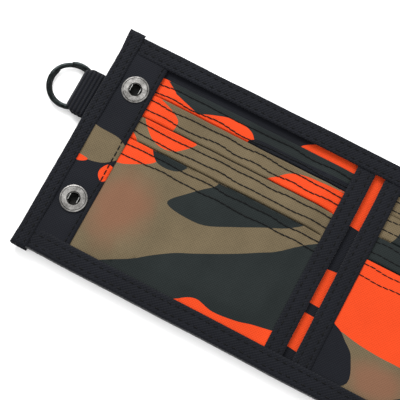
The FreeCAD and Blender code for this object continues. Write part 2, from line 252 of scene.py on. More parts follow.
class Build:
    """Collects grids of points into one mesh with flat coordinates."""

    def __init__(self):
        self.points, self.faces, self.kinds, self.flat = [], [], [], []

    def grid(self, rows, kind=0, wrap=False, flat=None, caps=False):
        first, width = len(self.points), len(rows[0])
        for i, row in enumerate(rows):
            for j, p in enumerate(row):
                self.points.append(p)
                self.flat.append(flat(i, j, p) if flat else (p[0], p[1]))
        for i in range(len(rows) - 1):
            for j in range(width if wrap else width - 1):
                a, b = first + i * width + j, first + i * width + (j + 1) % width
                self.faces.append((a, b, b + width, a + width))
                self.kinds.append(kind)
        if caps:
            last = first + (len(rows) - 1) * width
            self.faces += [tuple(range(first, first + width))[::-1], tuple(range(last, last + width))]
            self.kinds += [kind, kind]

    def stitch(self, start, end, radius=0.24, up=(0, 0, 1), kind=1):
        """One stitch of thread, sunk at both ends."""
        a, b, up = Vector(start), Vector(end), Vector(up)
        along = (b - a).normalized()
        side = along.cross(up).normalized()
        rows = []
        for t, girth, lift in (
            (0, 0.6, -0.12), (0.12, 0.92, 0.03), (0.5, 1.0, 0.1), (0.88, 0.92, 0.03), (1, 0.6, -0.12),
        ):
            centre = a.lerp(b, t) + up * lift
            rows.append([
                centre + (side * math.cos(q) + up * math.sin(q)) * radius * girth
                for q in angles(6)
            ])
        self.grid(rows, kind, wrap=True, caps=True)

    def seam(self, at, start, end, pitch=3.0, length=2.3, wave=0.12, seed=0.0, **how):
        """A row of stitches from start to end. at(s, drift) gives the point s along the row, drift to its side."""
        count = max(1, round((end - start) / pitch))
        step = (end - start) / count
        for i in range(count):
            s = start + (i + 0.5) * step
            drift = wave * noise.noise(Vector((s * 0.09, seed, 3.7)))
            self.stitch(at(s - length / 2, drift), at(s + length / 2, drift), **how)

    def done(self, name, *materials):
        mesh = bpy.data.meshes.new(name)
        mesh.from_pydata([Vector(p) * 0.001 for p in self.points], [], self.faces)
        for m in materials:
            mesh.materials.append(m)
        mesh.polygons.foreach_set("material_index", self.kinds)
        mesh.polygons.foreach_set("use_smooth", [True] * len(self.faces))
        layer = mesh.uv_layers.new(name="flat")
        for loop in mesh.loops:
            layer.data[loop.index].uv = self.flat[loop.vertex_index]
        mesh.validate()
        piece = bpy.data.objects.new(name, mesh)
        bpy.context.scene.collection.objects.link(piece)
        return piece


def attach(piece, where):
    if where in BLENDS:
        a, b, fold = BLENDS[where]
        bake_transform(piece)
    else:
        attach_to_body(piece, where)
    return piece


def rounded(points, parts=6):
    """A closed smooth outline through a few points."""
    out = []
    for i in range(len(points)):
        p0, p1, p2, p3 = (Vector(points[(i + k) % len(points)]) for k in (-1, 0, 1, 2))
        for j in range(parts):
            t = j / parts
            square, cube = 2 * p0 - 5 * p1 + 4 * p2 - p3, 3 * p1 - p0 - 3 * p2 + p3
            out.append(0.5 * (2 * p1 + (p2 - p0) * t + square * t * t + cube * t ** 3))
    return out


def ragged(shapes, reach=5.0):
    """The same shapes with their outlines made irregular, as a camouflage print has them."""
    out = []
    for kind, shape in shapes:
        outline = []
        for p in rounded(shape, 2):
            outline.append(tuple(
                p[axis] + reach * noise.noise(Vector((p[0] * 0.07, p[1] * 0.07, layer)))
                for axis, layer in ((0, 2.5), (1, 7.5))
            ))
        out.append((kind, outline))
    return out


def clipped(outline, x0, x1, y0, y1):
    for axis, limit, sign in ((0, x0, 1), (0, x1, -1), (1, y0, 1), (1, y1, -1)):
        out = []
        for i, p in enumerate(outline):
            q = outline[i - 1]
            inside_p, inside_q = (p[axis] - limit) * sign >= 0, (q[axis] - limit) * sign >= 0
            if inside_p != inside_q:
                out.append(q.lerp(p, (limit - q[axis]) / (p[axis] - q[axis])))
            if inside_p:
                out.append(p)
        outline = out
        if not outline:
            break
    return outline


def inside(p, outline):
    hit = False
    for i, a in enumerate(outline):
        b = outline[i - 1]
        if (a[1] > p[1]) != (b[1] > p[1]) and p[0] < (b[0] - a[0]) * (p[1] - a[1]) / (b[1] - a[1]) + a[0]:
            hit = not hit
    return hit


def cloth(name, x0, x1, y0, y1, height, thick, base, shapes=(), step=1.6, palette=None, holes=(), lines=()):
    """A sheet of printed cloth with its top at height(x, y). The print is cut into the mesh, so its edges are crisp."""
    palette = palette or CLOTHS
    columns, rows = max(2, round((x1 - x0) / step)), max(2, round((y1 - y0) / step))
    xs = [x0 + (x1 - x0) * i / columns for i in range(columns + 1)]
    points = [Vector((x, y0 + (y1 - y0) * j / rows)) for j in range(rows + 1) for x in xs]
    points += [Vector((x, y)) for y in lines if y0 < y < y1 for x in xs]
    edges, outlines = [], []
    for kind, shape in shapes:
        outline = rounded(shape)
        low, high = ([limit(p[k] for p in outline) for k in (0, 1)] for limit in (min, max))
        outlines.append((kind, outline, low, high))
        cut = clipped(outline, x0, x1, y0, y1)
        if len(cut) > 2:
            first = len(points)
            points += cut
            edges += [(first + i, first + (i + 1) % len(cut)) for i in range(len(cut))]
    for x, y, r in holes:
        first = len(points)
        points += [Vector((x + r * math.cos(a), y + r * math.sin(a))) for a in angles(HOLE_SIDES)]
        edges += [(first + i, first + (i + 1) % HOLE_SIDES) for i in range(HOLE_SIDES)]
    flat, _, faces, *_ = geometry.delaunay_2d_cdt(points, edges, [], 0, 1e-4)
    build = Build()
    build.points = [(p[0], p[1], height(p[0], p[1])) for p in flat]
    build.flat = [(p[0], p[1]) for p in flat]
    for face in faces:
        c = sum((flat[i] for i in face), Vector((0, 0))) / len(face)
        if any(math.hypot(c[0] - x, c[1] - y) < r for x, y, r in holes):
            continue
        kind = base
        for k, outline, low, high in outlines:
            if low[0] <= c[0] <= high[0] and low[1] <= c[1] <= high[1] and inside(c, outline):
                kind = k
        build.faces.append(tuple(face))
        build.kinds.append(kind)
    piece = build.done(name, *palette)
    solid = piece.modifiers.new("thickness", "SOLIDIFY")
    solid.thickness, solid.offset = thick / 1000, -1
    return piece


# ---------------------------------------------------------------- cloth surface

ROWS = (2.3, 6.5)


def ease(t):
    t = min(1.0, max(0.0, t))
    return t * t * (3 - 2 * t)


def swell(x, y, x0, x1, y0, y1, seed=0.0):
    """How far a sewn-down panel lifts between its seams. All layers of a panel share it, so none cuts another."""
    edge = ease(min(x - x0, x1 - x) / 9) * ease(min(y - y0, y1 - y) / 9)
    slow = noise.noise(Vector((x * 0.035, y * 0.045, seed)))
    ripple = noise.noise(Vector((x * 0.13, y * 0.05, seed + 5)))
    return edge * (0.75 + 0.85 * slow + 0.34 * ripple)


def pucker(x, y, rows, seed=0.0):
    """Dents along seams, and the small gathers between their stitches."""
    depth = 0.0
    for row in rows:
        d = abs(y - row)
        if d < 2.6:
            depth -= (1 - d / 2.6) ** 2 * (0.14 + 0.14 * noise.noise(Vector((x * 0.32, row, seed))))
    return depth


def flat_sheet(piece, node_names, where):
    attach(piece, where)
    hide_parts(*node_names)
    return piece


# ---------------------------------------------------------------- outer shell and lining

SHELL_SHAPES = [
    (G, [(-170, 20), (-150, 34), (-128, 28), (-118, 10), (-132, -6), (-150, 2), (-172, -4)]),
    (O, [(-120, 54), (-104, 40), (-84, 36), (-70, 46), (-66, 56)]),
    (N, [(-110, 14), (-92, 22), (-74, 12), (-80, -6), (-98, -14), (-112, -4)]),
    (O, [(-160, -54), (-150, -34), (-130, -28), (-112, -36), (-104, -54)]),
    (G, [(-66, -54), (-58, -30), (-38, -20), (-20, -34), (-16, -54)]),
    (O, [(-52, 18), (-38, 30), (-18, 26), (-10, 8), (-26, -4), (-46, 4)]),
    (N, [(-30, 54), (-14, 40), (6, 42), (16, 54)]),
    (G, [(0, 20), (18, 34), (44, 30), (52, 12), (36, 0), (14, 4)]),
    (O, [(8, -54), (20, -30), (44, -22), (64, -34), (66, -54)]),
    (N, [(58, -6), (74, 8), (92, 2), (98, -16), (82, -26), (64, -20)]),
    (G, [(82, 54), (92, 34), (114, 26), (132, 36), (136, 54)]),
    (O, [(108, 10), (124, 20), (146, 14), (150, -6), (132, -16), (112, -8)]),
    (N, [(96, -54), (110, -38), (130, -34), (142, -54)]),
    (G, [(152, -54), (158, -30), (176, -18), (194, -26), (194, -54)]),
    (O, [(160, 42), (172, 28), (192, 30), (192, 54), (168, 54)]),
]
LINING_SHAPES = [
    (N, [(-62, 17), (-38, 16), (-38, 1), (-62, 0)]),
    (N, [(-62, -16.5), (-38, -17.5), (-38, -21), (-62, -20)]),
    (N, [(-62, -37.5), (-38, -38.5), (-38, -54), (-62, -54)]),
    (G, [(58, 54), (60, 24), (74, 12), (86, 30), (84, 54)]),
    (O, [(60, -6), (72, 8), (82, -2), (80, -22), (64, -26)]),
    (K, [(84, 54), (88, 30), (120, 26), (160, 34), (192, 28), (192, 54)]),
    (O, [(116, 46), (132, 38), (152, 42), (160, 52), (124, 54)]),
    (G, [(84, -32), (110, -44), (150, -38), (192, -46), (192, -54), (84, -54)]),
    (K, [(176, 20), (194, 24), (194, -30), (178, -24)]),
]


def shell_height(x, y):
    wave = 0.10 * noise.noise(Vector((x * 0.05, y * 0.06, 2.0)))
    return SHELL_HIGH[2] + wave * ease((HALF - abs(y)) / 9)


LINING_LOW, LINING_HIGH = corners("middle_lining")


def lining_height(x, y):
    return LINING_HIGH[2] + 0.05 * noise.noise(Vector((x * 0.08, y * 0.05, 8.0)))


for side, x0, x1 in HALVES:
    piece = cloth(f"{side}_outer_shell", x0, x1, -HALF, HALF, shell_height, SHELL_HIGH[2] - SHELL_LOW[2],
                  K, ragged(SHELL_SHAPES, 13.0), step=2.4)
    flat_sheet(piece, half_nodes(side, "shell"), side)
    piece = cloth(f"{side}_inner_lining", x0, x1, -HALF, HALF, lining_height, 0.25,
                  O if side == "left" else K, LINING_SHAPES, step=2.0)
    flat_sheet(piece, half_nodes(side, "lining"), side)

# ---------------------------------------------------------------- card pockets

LEFT_PRINT = {
    "left_pocket_back": (N, [(O, [(-81, 37), (-78, 41.5), (-70, 43.5), (-60, 43), (-56, 39), (-60, 36)])]),
    "left_card_tier_1": (G, [
        (O, [(-149, 41), (-144, 39), (-140, 37), (-136, 34), (-134.5, 31), (-137, 27), (-149, 27)]),
        (O, [(-140, 34.5), (-131, 32.8), (-125, 31.4), (-119, 33.5), (-112, 35.6), (-104, 35.2), (-100, 32.5),
             (-98, 27), (-137, 26)]),
        (N, [(-99, 32.6), (-80, 33), (-52, 33), (-52, 26), (-97, 26)]),
    ]),
    "left_card_tier_2": (K, [
        (O, [(-149, 31), (-141, 29.5), (-134, 27), (-130, 23.5), (-133, 17), (-149, 16)]),
        (O, [(-88, 16), (-84, 23), (-78, 27.3), (-68, 28.6), (-52, 28), (-52, 16)]),
    ]),
    "left_card_tier_3": (K, [
        (O, [(-142, 22), (-138, 14.5), (-131, 11.5), (-124, 13.5), (-119, 22)]),
        (O, [(-150, 13), (-144, 12), (-141, 8), (-150, 6)]),
    ]),
    "left_card_tier_4": (K, [
        (O, [(-150, 11), (-134, 11), (-130, 5.5), (-136, 1), (-143, -2), (-150, -1)]),
        (G, [(-133, 11), (-118, 11), (-120, 6), (-126, 4.5), (-131, 6)]),
        (G, [(-118, -8), (-112, 0), (-105, 6.5), (-98, 12), (-66, 12), (-70, 6), (-80, 1), (-90, -4), (-103, -9.5)]),
        (G, [(-131, -46), (-118, -33), (-107, -25), (-97, -20), (-84, -13), (-72, -6), (-52, 5), (-52, -46)]),
        (O, [(-100, -45), (-96, -39.5), (-90, -36.5), (-82, -38), (-72, -37), (-64, -35), (-52, -34), (-52, -45)]),
    ]),
}
MIDDLE_PRINT = {
    "middle_pocket_back": (G, [(O, [(0, 37), (10, 42), (26, 43), (34, 36)])]),
    "middle_card_tier_1": (K, [
        (G, [(-30, 41), (-31, 30), (-26, 26), (20, 27), (14, 41)]),
        (O, [(34, 41), (40, 32), (60, 30), (64, 41)]),
    ]),
    "middle_card_tier_2": (G, [
        (K, [(-44, 32), (-33, 31), (-31, 23), (-36, 16), (-44, 17)]),
        (O, [(8, 32), (14, 24), (32, 20), (46, 24), (48, 32)]),
    ]),
    "middle_card_tier_3": (G, [
        (K, [(10, 21), (20, 13), (40, 11), (58, 14), (66, 21)]),
        (N, [(44, 21), (52, 12), (66, 8), (66, 21)]),
    ]),
    "middle_card_tier_4": (K, [
        (O, [(-44, 12), (-6, 12), (6, 4), (10, -10), (0, -22), (-12, -23.5), (-24, -23), (-33, -21.5), (-44, -19)]),
        (N, [(-44, -20), (-36, -20.5), (-31, -24), (-26, -29), (-24, -40), (-44, -45)]),
        (G, [(-8, -46), (-2, -34), (14, -30), (34, -34), (44, -46)]),
        (G, [(14, 12), (20, 2), (38, -6), (56, 2), (66, 12)]),
        (O, [(44, -46), (48, -28), (58, -20), (68, -22), (68, -46)]),
    ]),
}


def pocket_stack(side, where, print_table, x0, x1, seed, life):
    """The pocket back and four staggered card pockets, with their hems and stitching."""
    low, high = corners(f"{side}_pocket_back")
    pocket_tapes = ["left_pocket_tape"] if side == "left" else ["middle_left_pocket_tape", "middle_right_pocket_tape"]
    inner_x0 = x0 if side == "left" else corners(pocket_tapes[0])[1][0]
    inner_x1 = corners(pocket_tapes[-1])[0][0]
    inner_y0, inner_y1 = corners(f"{side}_bottom_tape")[1][1], corners(f"{side}_top_tape")[0][1]
    tops = [corners(f"{side}_card_tier_{k}")[1][1] for k in (1, 2, 3, 4)]

    def slot_depth(y, mouth):
        """0 away from a pocket's mouth, 1 at the bottom of the dark slot just beyond its folded edge."""
        d = y - mouth
        return ease((d + 0.45) / 0.45) * ease((1.0 - d) / 0.6)

    def height(level, rows, edge=None, layer=0):
        mouths = [t for t in tops if edge is None or t < edge - 0.1]

        def at(x, y):
            z = level + life * (swell(x, y, inner_x0, inner_x1, inner_y0, inner_y1, seed) + pucker(x, y, rows, seed))
            if edge is not None:
                z += 0.3 * life * ease(1 - (edge - y) / 1.6) * ease(min(x - inner_x0, inner_x1 - x) / 4)
            deepest = LINING_HIGH[2] + 0.09 + 0.07 * layer
            for mouth in mouths:
                between = ease(min(x - inner_x0, inner_x1 - x) / 1.5)
                z += (min(z, deepest) - z) * slot_depth(y, mouth) * between
            return z
        return at

    base, shapes = print_table[f"{side}_pocket_back"]
    piece = cloth(f"{side}_pocket_backing", x0, x1, low[1], high[1], height(high[2], ()), 0.22, base, shapes)
    flat_sheet(piece, [f"{side}_pocket_back"], where)
    slots = [t + d for t in tops for d in (-0.4, 0.0, 0.35, 0.7, 1.05)]
    stitches = Build()
    sunk = 0.18 * life - 0.13  # flatter where the folded coin pocket presses on the thread
    hem_x0, hem_x1 = max(x0, inner_x0 - 0.5), min(x1, inner_x1 + 0.5)
    for k, top in enumerate(tops, 1):
        name = f"{side}_card_tier_{k}"
        level = corners(name)[1][2]
        rows = [top - r for r in ROWS]
        surface = height(level, rows, top, k)
        base, shapes = print_table[name]
        bottom = corners(name)[0][1]
        piece = cloth(f"{side}_card_pocket_{k}", x0, x1, bottom, top, surface, 0.2, base, shapes, step=1.2, lines=slots)
        flat_sheet(piece, [name], where)
        for r, row in enumerate(rows):
            at = lambda s, drift, row=row, surface=surface: (s, row + drift, surface(s, row + drift) + sunk)
            stitches.seam(at, max(x0 + 1.0, inner_x0 - 0.4), min(x1 - 1.0, inner_x1 + 0.4), wave=1.1,
                          seed=k * 3.1 + r, **LOCKSTITCH)
        # The folded edge: a soft roll of cloth along the pocket's mouth.
        roll = []
        for i in range(71):
            x = hem_x0 + (hem_x1 - hem_x0) * i / 70
            z = surface(x, top - 0.1) - 0.12
            roll.append([
                (x, top + 0.02 + 0.16 * math.cos(q), z + 0.14 * math.sin(q)) for q in angles(8)
            ])
        build = Build()
        build.grid(roll, 0, wrap=True, caps=True)
        for n, face in enumerate(build.faces):
            x = sum(build.points[i][0] for i in face) / len(face)
            kind = base
            for c, shape in shapes:
                if inside((x, top - 0.4), rounded(shape)):
                    kind = c
            build.kinds[n] = kind
        hem = build.done(f"{side}_card_hem_{k}", *CLOTHS)
        attach(hem, where)
    sewn = stitches.done(f"{side}_pocket_stitching", THREAD)
    attach(sewn, where)


TIER_LEFT = corners("left_card_tier_1")[0][0]
pocket_stack("left", "left_panel", LEFT_PRINT, TIER_LEFT, FOLD_1 - BEND - 0.1, 1.0, 1.0)
pocket_stack("middle", "middle_panel", MIDDLE_PRINT, FOLD_1 + BEND_PAST_1 + 0.1, FOLD_2 - BEND - 0.1, 4.0, 0.12)

# ---------------------------------------------------------------- snap strip

STRIP_LOW, STRIP_HIGH = corners("snap_strip")
SOCKETS_LOW, SOCKETS_HIGH = corners("snap_sockets")
SNAP_X = (SOCKETS_LOW[0] + SOCKETS_HIGH[0]) / 2
SOCKET_RADIUS = (SOCKETS_HIGH[0] - SOCKETS_LOW[0]) / 2
SNAP_YS = (SOCKETS_HIGH[1] - SOCKET_RADIUS, SOCKETS_LOW[1] + SOCKET_RADIUS)


def strip_height(x, y):
    wave = 1 + noise.noise(Vector((x * 0.1, y * 0.09, 6)))
    z = STRIP_HIGH[2] + 0.3 * ease(min(x - STRIP_LOW[0], STRIP_HIGH[0] - x) / 4) * wave
    near = min(math.hypot(x - SNAP_X, y - s) for s in SNAP_YS)
    return z - 0.15 * ease(1 - (near - SOCKET_RADIUS) / 4)


piece = cloth("snap_strip_cloth", STRIP_LOW[0], STRIP_HIGH[0], STRIP_LOW[1], STRIP_HIGH[1], strip_height, 0.3, N, [
    (K, [(-168, 8), (-157, 7.4), (-147, 6.6), (-142, 2), (-147, -4), (-152, -6.2), (-158, -7), (-168, -8)]),
    (O, [(-162, -6.2), (-155, -6.4), (-157.5, -8.6), (-163, -8.6)]),
    (O, [(-148.4, -8), (-146, -4.6), (-142, -7), (-145, -12), (-147.6, -11)]),
], step=1.2, holes=[(SNAP_X, y, 3.2) for y in SNAP_YS])
flat_sheet(piece, ["snap_strip"], "left_panel")
edge = STRIP_HIGH[0] - 1.8
strip_thread = Build()
strip_thread.seam(row_along_y(edge, strip_height), STRIP_LOW[1] + 8, STRIP_HIGH[1] - 7,
                  pitch=2.9, length=2.3, wave=0.6, radius=0.27, kind=0)
attach(strip_thread.done("snap_strip_stitching", THREAD), "left_panel")
low, high = corners("snap_stiffener")
board = cloth("snap_stiffener_board", low[0], high[0], low[1], high[1], lambda x, y: high[2] - 0.05,
              high[2] - low[2] - 0.1, 0, (), 3.0, [BOARD], [(SNAP_X, y, 3.25) for y in SNAP_YS])
attach(board, "left_panel")
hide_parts("snap_stiffener")

# ---------------------------------------------------------------- binding tapes


def tape_profile(width, z_low, z_high, over, thick=0.35):
    """Closed section of a tape folded round an edge: (distance in from the edge, height), outside then back inside."""
    middle, half = (z_low + z_high) / 2, (z_high - z_low) / 2
    outer = []
    for w in (1.0, 0.86, 0.75, 0.62, 0.5, 0.38, 0.25, 0.14):
        dent = 0.16 * max(0, 1 - abs(w - 0.75) / 0.14) + 0.16 * max(0, 1 - abs(w - 0.25) / 0.14)
        outer.append((width * w, half - dent + 0.08 * math.sin(math.pi * w)))
    for q in range(8):
        angle = math.pi / 2 - q * math.pi / 7
        outer.append((-over * math.cos(angle), half * math.sin(angle)))
    outer += [(d, -z) for d, z in reversed(outer[:8])]
    inner = [
        (d + (thick if i in range(8, 16) else 0), z - math.copysign(thick, z) if abs(z) > thick else 0.0)
        for i, (d, z) in enumerate(outer)
    ]
    section = outer + inner[::-1]
    return [(d, middle + z) for d, z in section]


def tape(name, nodes, where, axis, start, end, edge, inward, width, z_low, z_high, over=0.5, seed=0.0,
         flare=None, rows=(0.25, 0.75)):
    """A tape along X or Y at an edge; inward is +1 or -1, the way its width runs."""
    section = tape_profile(width, z_low, z_high, over)
    count = max(8, round((end - start) / 1.7))

    def place(s, d, z):
        wave = 0.22 * noise.noise(Vector((s * 0.045, seed, 1.3))) + 0.07 * noise.noise(Vector((s * 0.3, seed, 4.1)))
        grow = flare(s) if flare else 0.0
        d = d + (wave if d < width * 0.5 else wave * 0.4) - grow * (1 - d / width)
        z = z + 0.07 * noise.noise(Vector((s * 0.22, d * 0.4, seed + 9)))
        a = edge + inward * d
        return (s, a, z) if axis == "X" else (a, s, z)

    build = Build()
    rows_of_points = [[place(start + (end - start) * i / count, d, z) for d, z in section] for i in range(count + 1)]
    lengths = [0.0]
    for (d0, z0), (d1, z1) in zip(section, section[1:]):
        lengths.append(lengths[-1] + math.hypot(d1 - d0, z1 - z0))
    build.grid(rows_of_points, 0, wrap=True, caps=True, flat=lambda i, j, p: ((end - start) * i / count, lengths[j]))
    for row in rows:
        for face, z in ((1, z_high - 0.1), (-1, z_low + 0.1)):
            at = lambda s, drift, row=row, z=z: place(s, width * row + drift, z)
            build.seam(at, start + 1.2, end - 1.2, pitch=3.4, length=2.0, wave=0.5, seed=seed + row,
                       radius=0.26, up=(0, 0, face))
    piece = build.done(name, TAPE, THREAD)
    attach(piece, where)
    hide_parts(*nodes)
    return piece


for side, x0, x1 in HALVES:
    for kind, label, edge, inward, seed, rows in (
        ("shell_top_tape", "back", HALF, -1, 1.0, (0.5,)),
        ("top_tape", "top", HALF, -1, 2.0, (0.25, 0.75)),
        ("bottom_tape", "bottom", -HALF, 1, 3.0, (0.25, 0.75)),
    ):
        low, high = corners(f"{side}_{kind}")
        tape(f"{side}_{label}_binding", half_nodes(side, kind), side, "X", x0, x1, edge, inward,
             high[1] - low[1], low[2], high[2], over=0.35, seed=seed, rows=rows)

low, high = corners("left_edge_tape")
tape("left_edge_binding", ["left_edge_tape"], "left_panel", "Y", low[1], high[1], low[0] + 0.4, 1,
     high[0] - low[0] - 0.4, low[2], high[2], over=0.5, seed=6.0,
     flare=lambda s: 0.7 * ease((s - 40) / 10) + 0.3 * ease((-42 - s) / 8))
low, high = corners("right_edge_tape")
tape("right_edge_binding", ["right_edge_tape"], "right_panel", "Y", low[1], high[1], high[0] - 0.4, -1,
     high[0] - low[0] - 0.4, low[2], high[2], over=0.5, seed=7.0)


def flat_tape(name, node, where, seed):
    """A pocket tape folded round the pocket's open side."""
    low, high = corners(node)
    outer_left = abs(low[0] - (MIDDLE_LEFT if node.startswith("middle_left") else RIGHT_LEFT)) < 0.5
    edge, inward = (low[0], 1) if outer_left else (high[0], -1)
    tape(name, [node], where, "Y", low[1], high[1], edge, inward, high[0] - low[0], low[2], high[2],
         over=0.15, seed=seed)


flat_tape("left_pocket_binding", "left_pocket_tape", "left", 11.0)
flat_tape("middle_left_pocket_binding", "middle_left_pocket_tape", "left", 12.0)
flat_tape("middle_right_pocket_binding", "middle_right_pocket_tape", "right", 13.0)
flat_tape("right_pocket_binding", "right_pocket_tape", "right", 14.0)

# ---------------------------------------------------------------- coin pocket

PX0, PX1 = corners("coin_pocket_front")[0][0], corners("coin_pocket_front")[1][0]
PY0, PY1 = corners("coin_pocket_front")[0][1], corners("coin_pocket_front")[1][1]
PZ = corners("coin_pocket_front")[1][2]
SNAP_LOW, SNAP_HIGH = corners("coin_snap_cap")
COIN_X, COIN_Y = (SNAP_LOW[0] + SNAP_HIGH[0]) / 2, (SNAP_LOW[1] + SNAP_HIGH[1]) / 2


def coin_height(x, y):
    puff = ease(min(x - PX0, PX1 - x) / 16) * ease((y - PY0) / 16) * ease((PY1 + 8 - y) / 12)
    flat_by_snap = ease((math.hypot(x - COIN_X, y - COIN_Y) - 6) / 10)
    return PZ + puff * flat_by_snap * (0.35 + 0.3 * noise.noise(Vector((x * 0.05, y * 0.06, 15))))


low, high = corners("coin_pocket_back")
piece = cloth("coin_pocket_backing", low[0], high[0], low[1], high[1], lambda x, y: high[2], 0.25, K, [
    (G, [(84, 46), (90, 28), (112, 24), (126, 34), (128, 46)]),
    (O, [(136, 46), (142, 30), (160, 26), (172, 34), (176, 46)]),
    (O, [(80, -20), (84, -4), (94, -10), (96, -30), (84, -36)]),
    (N, [(176, 10), (184, 20), (192, 8), (190, -14), (178, -10)]),
    (G, [(150, -46), (158, -38), (180, -36), (192, -46)]),
], step=2.0)
flat_sheet(piece, ["coin_pocket_back"], "right_panel")
piece = cloth("coin_pocket_panel", PX0, PX1, PY0, PY1, coin_height, 0.25, G, [
    (O, [(84, 26), (86, 4), (100, -4), (114, 4), (112, 20), (100, 27)]),
    (K, [(112, 27), (118, 8), (136, 0), (154, 8), (160, 27)]),
    (O, [(150, -6), (162, 4), (182, 0), (184, -22), (166, -26), (152, -18)]),
    (K, [(84, -18), (100, -14), (118, -22), (140, -18), (146, -32), (128, -42), (84, -42)]),
    (N, [(156, 27), (164, 14), (182, 10), (184, 27)]),
], step=1.8)
flat_sheet(piece, ["coin_pocket_front"], "right_panel")

low, high = corners("coin_pocket_gusset")
wall = []
path = [(PX0, PY1), (PX0, PY0 + 3), (PX0 + 0.9, PY0 + 0.9), (PX0 + 3, PY0),
        (PX1 - 3, PY0), (PX1 - 0.9, PY0 + 0.9), (PX1, PY0 + 3), (PX1, PY1)]
dense = []
for (ax, ay), (bx, by) in zip(path, path[1:]):
    parts = max(1, round(math.hypot(bx - ax, by - ay) / 3))
    dense += [(ax + (bx - ax) * i / parts, ay + (by - ay) * i / parts) for i in range(parts)]
dense.append(path[-1])
centre = ((PX0 + PX1) / 2, (PY0 + PY1) / 2)
for x, y in dense:
    reach = Vector((x - centre[0], y - centre[1])).normalized()
    wall.append([
        (x + reach[0] * b, y + reach[1] * b, low[2] + (high[2] - low[2] + 0.25) * t)
        for t, b in ((0, 0.3), (0.25, -0.35), (0.5, -0.7), (0.75, -0.35), (1, 0.0))
    ])
build = Build()
build.grid(wall, 0, flat=lambda i, j, p: (i * 3.0, j * 0.6))
piece = build.done("coin_pocket_side", LINING)
solid = piece.modifiers.new("thickness", "SOLIDIFY")
solid.thickness, solid.offset = 0.0003, 0
attach(piece, "right_panel")
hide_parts("coin_pocket_gusset")

coin_thread = Build()
for y, wave, seed in ((PY1 - 2.3, 0.6, 0.0), (PY1 - 6.5, 0.6, 4)):
    coin_thread.seam(row_along_x(y, coin_height), PX0 + 2, PX1 - 2, wave=wave, seed=seed, **LOCKSTITCH)
for x in (PX0 + 1.6, PX1 - 1.6):
    coin_thread.seam(row_along_y(x, coin_height), PY0 + 2, PY1 - 1, wave=0.4, seed=x, **LOCKSTITCH)
coin_thread.seam(row_along_x(PY0 + 1.6, coin_height), PX0 + 2, PX1 - 2, wave=0.4, seed=9, **LOCKSTITCH)
attach(coin_thread.done("coin_pocket_stitching", THREAD), "right_panel")

FLAP_LOW, FLAP_HIGH = corners("coin_flap")
ROOT_LOW, ROOT_HIGH = corners("coin_flap_root")


def flap_height(x, y):
    wave = 0.14 * noise.noise(Vector((x * 0.06, y * 0.08, 21)))
    return FLAP_HIGH[2] + wave * ease((FLAP_HIGH[1] - y) / 6) * ease((math.hypot(x - COIN_X, y - COIN_Y) - 5) / 6)


flap_thick = FLAP_HIGH[2] - FLAP_LOW[2]
piece = cloth("coin_flap_cloth", FLAP_LOW[0], FLAP_HIGH[0], FLAP_LOW[1], FLAP_HIGH[1], flap_height, flap_thick, K, [
    (O, [(84, 36), (92, 20), (108, 14), (120, 22), (122, 36)]),
    (G, [(112, 16), (126, 22), (146, 16), (150, 0), (136, -8), (116, -2)]),
    (N, [(148, 36), (156, 22), (182, 18), (184, 36)]),
    (O, [(156, 10), (168, 14), (184, 8), (184, -8), (160, -8)]),
    (G, [(84, 4), (96, 8), (104, -2), (98, -8), (84, -8)]),
], step=1.8)
flat_sheet(piece, ["coin_flap"], "coin_flap_body")
flap_thread = Build()
flap_thread.seam(row_along_x(FLAP_LOW[1] + 1.8, flap_height), FLAP_LOW[0] + 2, FLAP_HIGH[0] - 2,
                 wave=0.4, seed=31, **LOCKSTITCH)
for x in (FLAP_LOW[0] + 1.8, FLAP_HIGH[0] - 1.8):
    flap_thread.seam(row_along_y(x, flap_height), FLAP_LOW[1] + 2, FLAP_HIGH[1] - 2,
                     wave=0.4, seed=x, **LOCKSTITCH)
attach(flap_thread.done("coin_flap_stitching", THREAD), "coin_flap_body")

build = Build()
rows = []
for i in range(47):
    x = ROOT_LOW[0] + (ROOT_HIGH[0] - ROOT_LOW[0]) * i / 46
    rows.append([(x, ROOT_LOW[1] + 0.12 + bulge, z) for z, bulge in (
        (ROOT_LOW[2], 0.25), (ROOT_LOW[2] + 1.2, 0.5), ((ROOT_LOW[2] + ROOT_HIGH[2]) / 2, 0.6),
        (ROOT_HIGH[2] - 1.0, 0.4), (ROOT_HIGH[2], 0.0))])
build.grid(rows, 0, flat=lambda i, j, p: (p[0], j * 1.1))
piece = build.done("coin_flap_fold", KHAKI)
solid = piece.modifiers.new("thickness", "SOLIDIFY")
solid.thickness, solid.offset = 0.0004, 0
attach(piece, "right_panel")
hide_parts("coin_flap_root")

# ---------------------------------------------------------------- key loop and split ring

LOOP_LOW, LOOP_HIGH = corners("key_loop")
RING_LOW, RING_HIGH = corners("key_ring")
RING_X, RING_Y = (RING_LOW[0] + RING_HIGH[0]) / 2, (RING_LOW[1] + RING_HIGH[1]) / 2
RING_R = (RING_HIGH[0] - RING_LOW[0]) / 2
RING_Z = (RING_LOW[2] + RING_HIGH[2]) / 2
WEB_THICK = 0.65
NECK = 8.6


def webbing_path():
    """The webbing's middle line from its sewn tail, out along the bottom, round the ring and back over."""
    z0, z1 = LOOP_LOW[2] + WEB_THICK / 2, LOOP_HIGH[2] - WEB_THICK / 2
    tip = LOOP_LOW[0] + WEB_THICK / 2
    r = (z1 - z0) / 2
    points = [(LOOP_HIGH[0] - i * 0.4, z0) for i in range(int((LOOP_HIGH[0] - tip - r) / 0.4))]
    points += [
        (tip + r - r * math.sin(q * math.pi / 8), (z0 + z1) / 2 - r * math.cos(q * math.pi / 8))
        for q in range(9)
    ]
    back = LOOP_HIGH[0] - 6.5
    run = back - (tip + r)
    points += [(tip + r + run * i / 28, z1) for i in range(1, 29)]
    points += [(back + 1.2 * i, z1 + (z0 + WEB_THICK - z1) * ease(i / 5)) for i in range(1, 6)]
    return points


